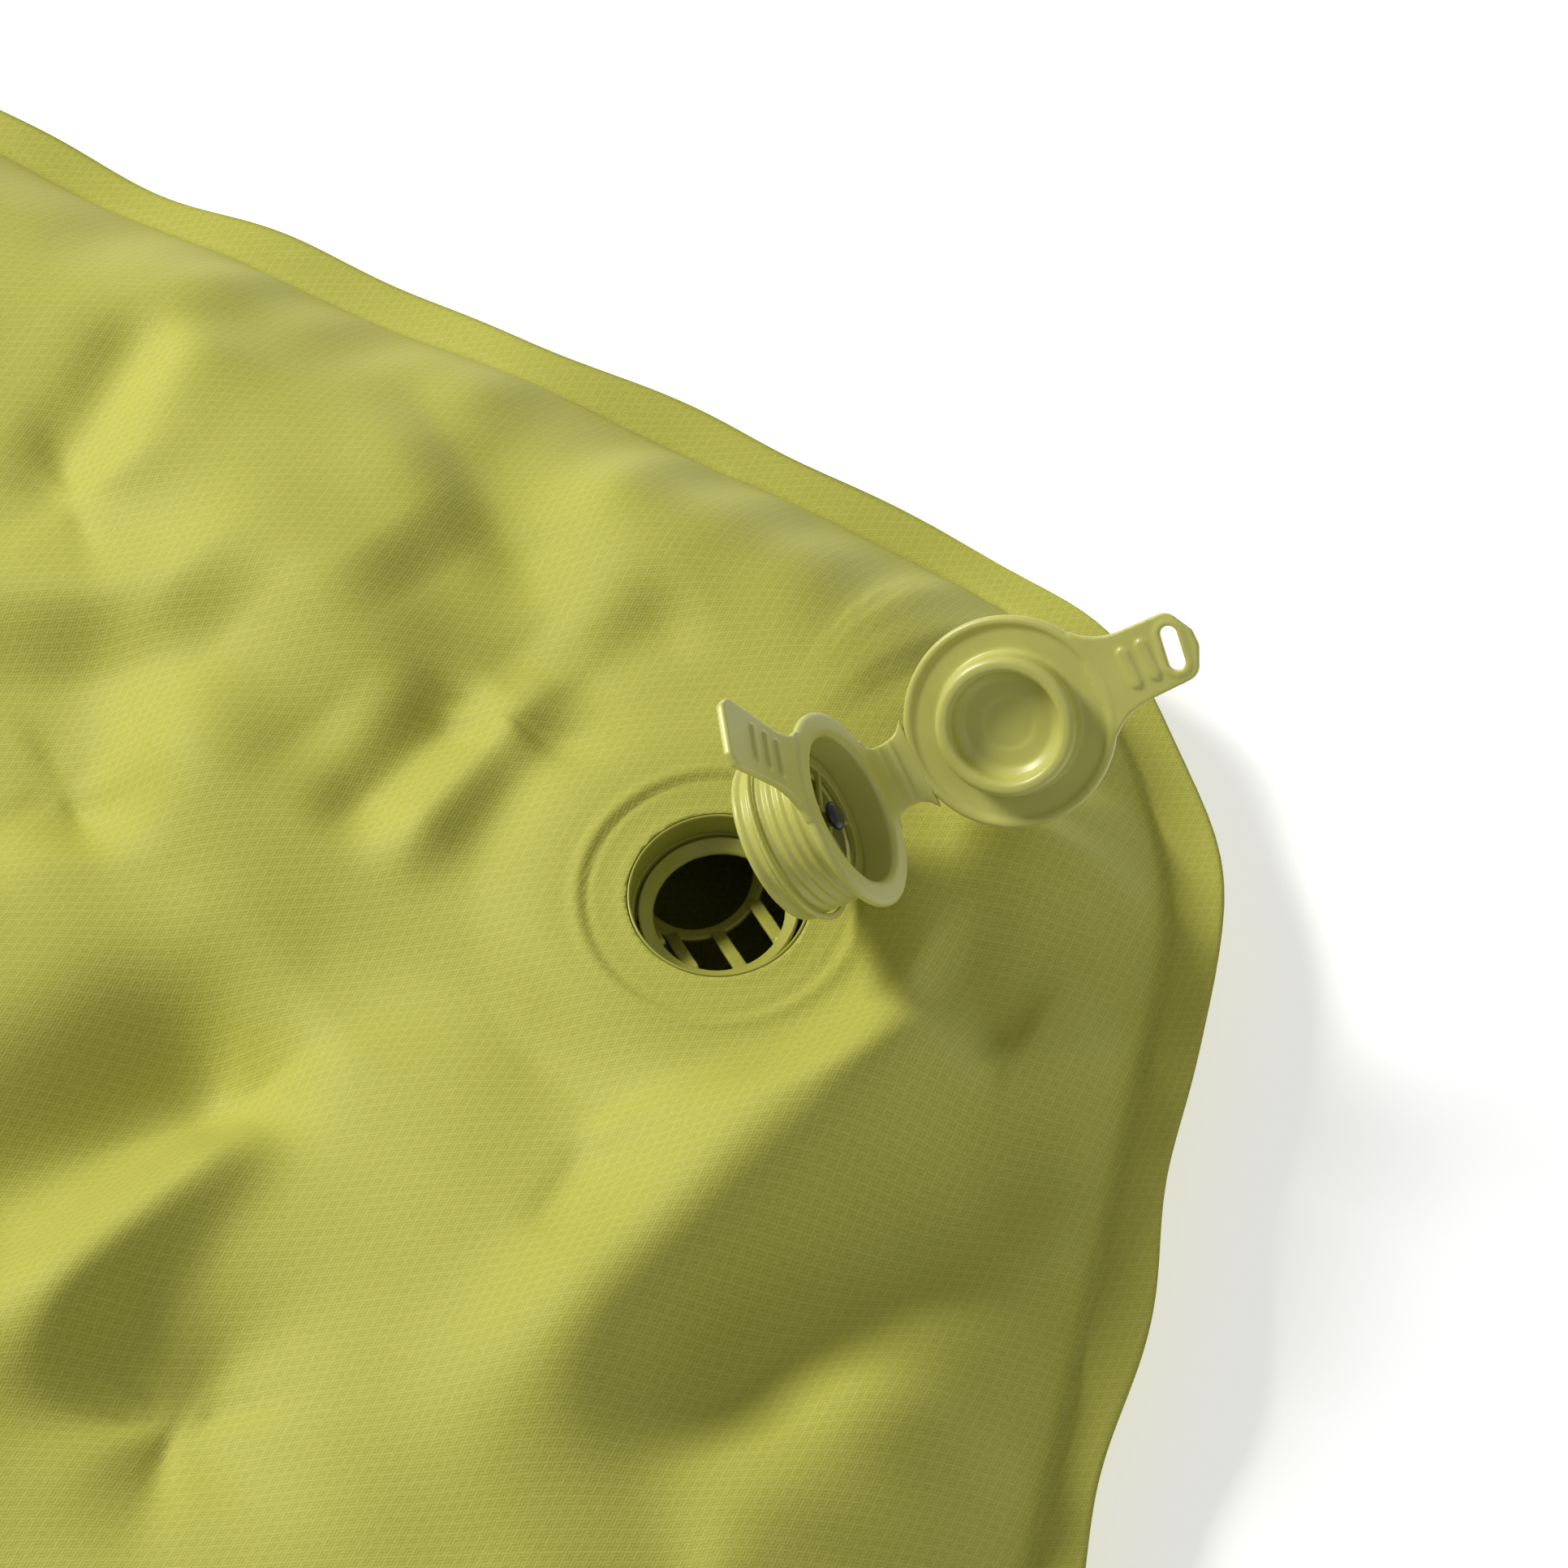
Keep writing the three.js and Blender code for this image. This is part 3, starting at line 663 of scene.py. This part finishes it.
def cap():
    dish = [(0.0, 0.25), (4.4, 0.25), (5.0, 0.0), (8.0, -0.1), (9.7, -1.3)]
    boss = [(10.0, -3.9), (10.7, -4.6), (12.0, -4.6), (12.9, -3.8), (12.9, 0.2)]
    brim = [(13.5, 0.85), (17.6, 0.75), (18.2, 0.1), (19.1, 0.0), (19.7, 0.5), (19.7, 1.5), (19.0, 2.1)]
    profile = dish + boss + brim + [(0.0, 2.1)]
    verts, faces = ring_shell([(max(r, 0.002), z) for r, z in profile], 160)
    left = [(-17.2, -10.4)] + curve((-17.2, -10.2), (-20.4, -6.9), (-25.5, -6.8))
    left += curve((-33, -6.6), (-35, -6.6), (-35.8, -5.2), 4) + [(-37.5, -1.5)]
    right = [(-37.5, 1.5)] + curve((-35.4, 5.4), (-34.6, 6.6), (-32.6, 6.6), 4)
    right += curve((-25.5, 6.8), (-20.4, 6.9), (-17.2, 10.2)) + [(-17.2, 10.4)]
    shells = [(verts, faces), prism(left + right, 0.15, 1.75)]
    for x in (24.4, 28.1):
        shells.append(prism(pill(-x, 0, 7.8, 2.0), -0.35, 0.5))
    slot = arc(-32.6, -2.6, 1.55, 180, 360) + arc(-33.4, 2.6, 1.55, 0, 180)
    border = arc(-32.6, -2.6, 2.7, 180, 360) + arc(-33.4, 2.6, 2.7, 0, 180)
    shells.append(prism(border, -0.15, 0.6))
    obj = joined("cap_body", shells, CAP, SATIN)
    outward(obj)
    remesh = obj.modifiers.new("remesh", "REMESH")
    remesh.mode = "VOXEL"
    remesh.voxel_size = 0.27 * MM
    cutter = joined("slot_cutter", [prism(slot, -3, 4)], CAP, SATIN)
    outward(cutter)
    cut = obj.modifiers.new("slot", "BOOLEAN")
    cut.operation = "DIFFERENCE"
    cut.object = cutter
    again = obj.modifiers.new("again", "REMESH")
    again.mode = "VOXEL"
    again.voxel_size = 0.27 * MM
    smooth = obj.modifiers.new("smooth", "SMOOTH")
    smooth.iterations = 7
    apply_modifiers(obj)
    bpy.data.objects.remove(cutter)
    for poly in obj.data.polygons:
        poly.use_smooth = True
    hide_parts("cap")
    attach(obj, "cap")


def fold_strap():
    """The bending strap that joins the stopper's flange to the cap."""
    side = STOPPER @ turn("Z", STRAP_TURN)
    a = side @ Vector((17.0, 0, -0.9))
    b = CAP @ Vector((18.4, 0, 0.75))
    da = (side.to_3x3() @ Vector((1, 0, 0))).normalized()
    db = -(CAP.to_3x3() @ Vector((1, 0, 0))).normalized()
    wide = (side.to_3x3() @ Vector((0, 1, 0))).normalized()
    reach = (b - a).length
    steps, cross = 28, 13
    verts, faces = [], []
    mids, ups = [], []
    for i in range(steps + 1):
        t = i / steps
        h00, h10 = 2 * t ** 3 - 3 * t ** 2 + 1, t ** 3 - 2 * t ** 2 + t
        h01, h11 = -2 * t ** 3 + 3 * t ** 2, t ** 3 - t ** 2
        mids.append(a * h00 + da * (reach * h10) + b * h01 + db * (reach * h11))
    for i in range(steps + 1):
        tangent = (mids[min(i + 1, steps)] - mids[max(i - 1, 0)]).normalized()
        ups.append(tangent.cross(wide).normalized())
    for layer in (-1, 1):
        for i in range(steps + 1):
            t = i / steps
            half = 6.3 + 3.0 * (abs(2 * t - 1) ** 3.0)
            crease = 0.28 * (math.exp(-((t - 0.36) / 0.035) ** 2) + math.exp(-((t - 0.62) / 0.035) ** 2))
            for k in range(cross):
                q = 2 * k / (cross - 1) - 1
                thick = 0.72 * (1 - 0.35 * abs(q) ** 6) + crease
                verts.append(mids[i] + wide * (half * q) + ups[i] * (layer * thick))
    per = (steps + 1) * cross
    for i in range(steps):
        for k in range(cross - 1):
            p = i * cross + k
            faces.append((p, p + 1, p + cross + 1, p + cross))
            faces.append((per + p, per + p + cross, per + p + cross + 1, per + p + 1))
        for k in (0, cross - 1):
            p = i * cross + k
            faces.append((p, p + cross, per + p + cross, per + p))
    for i in (0, steps):
        for k in range(cross - 1):
            p = i * cross + k
            faces.append((p, p + 1, per + p + 1, per + p))
    obj = make_object("fold_strap", verts, faces, SATIN)
    soften(obj, 0.3, 4)
    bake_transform(obj)


def from_node(name, new_name, mat, body, voxel, rounds):
    """A finer, rounded copy of a moulded CAD node."""
    src = NODES[name]
    obj = bpy.data.objects.new(new_name, src.data.copy())
    bpy.context.collection.objects.link(obj)
    obj.data.materials.clear()
    obj.data.materials.append(mat)
    soften(obj, voxel, rounds)
    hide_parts(name)
    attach(obj, body)
    return obj


# ---------- stage ----------
def studio():
    mat, nt, bsdf = new_material("paper_floor")
    grain = node(nt, "ShaderNodeTexNoise")
    grain.inputs["Scale"].default_value = 40
    ramp = node(nt, "ShaderNodeValToRGB")
    ramp.color_ramp.elements[0].color = (0.90, 0.90, 0.90, 1)
    ramp.color_ramp.elements[1].color = (0.93, 0.93, 0.93, 1)
    nt.links.new(grain.outputs[0], ramp.inputs[0])
    nt.links.new(ramp.outputs[0], bsdf.inputs["Base Color"])
    bsdf.inputs["Roughness"].default_value = 0.9
    bsdf.inputs["Emission Color"].default_value = (1, 1, 1, 1)
    bsdf.inputs["Emission Strength"].default_value = 0.4
    half, z = 9, -0.0005
    corners = [(-half, -half, z), (half, -half, z), (half, half, z), (-half, half, z)]
    floor = make_object("floor", corners, [(0, 1, 2, 3)], mat, 1.0)
    world = bpy.data.worlds.new("studio")
    bpy.context.scene.world = world
    world.use_nodes = True
    world.node_tree.nodes["Background"].inputs[0].default_value = (1, 1, 1, 1)
    world.node_tree.nodes["Background"].inputs[1].default_value = 0.29
    bpy.context.scene.view_settings.view_transform = "Standard"


def area_light(name, direction, distance, size, power, target):
    data = bpy.data.lights.new(name, "AREA")
    data.shape = "RECTANGLE"
    data.size = size[0]
    data.size_y = size[1]
    data.energy = power
    obj = bpy.data.objects.new(name, data)
    bpy.context.collection.objects.link(obj)
    d = (turn("Z", VALVE_TURN) @ Vector(direction)).normalized()
    obj.location = target + d * distance
    obj.rotation_euler = d.to_track_quat("Z", "Y").to_euler()
    return obj


def camera():
    elevation = math.radians(CAMERA_ELEVATION)
    look = turn("Z", VALVE_TURN) @ Vector((0, math.cos(elevation), -math.sin(elevation)))
    right = turn("Z", VALVE_TURN) @ Vector((1, 0, 0))
    up = right.cross(look)
    centre = (VALVE @ Vector((0, 0, 0))) * MM
    target = centre + right * (AIM_RIGHT * MM) + up * (AIM_UP * MM)
    lens = 85.0
    width = FRAME_WIDTH * MM
    distance = width * lens / 36.0
    data = bpy.data.cameras.new("camera")
    data.lens = lens
    data.sensor_width = 36.0
    data.clip_start = 0.01
    data.clip_end = 50
    obj = bpy.data.objects.new("camera", data)
    bpy.context.collection.objects.link(obj)
    obj.location = target - look * distance
    obj.rotation_euler = (-look).to_track_quat("Z", "Y").to_euler()
    bpy.context.scene.camera = obj
    return target


pad()
valve_base()
from_node("retainer_cage", "cage", BORE, "cage", 0.25, 5)
from_node("stopper_collar", "collar", SATIN, "collar", 0.2, 4)
from_node("check_seat", "seat_spider", BORE, "stopper", 0.22, 3)
from_node("check_flap", "flap", FLAP, "poppet", 0.22, 4)
from_node("stem_button", "stem_head", STEM, "poppet", 0.15, 4)
stopper()
cap()
fold_strap()
studio()
aim = camera()
area_light("key", (-0.95, 0.45, 0.78), 1.9, (0.55, 0.55), 36, aim)
area_light("fill", (0.7, -0.6, 1.2), 2.4, (1.8, 1.8), 6, aim)
area_light("back", (0.1, 1.0, 0.7), 2.4, (1.6, 0.8), 1.5, aim)
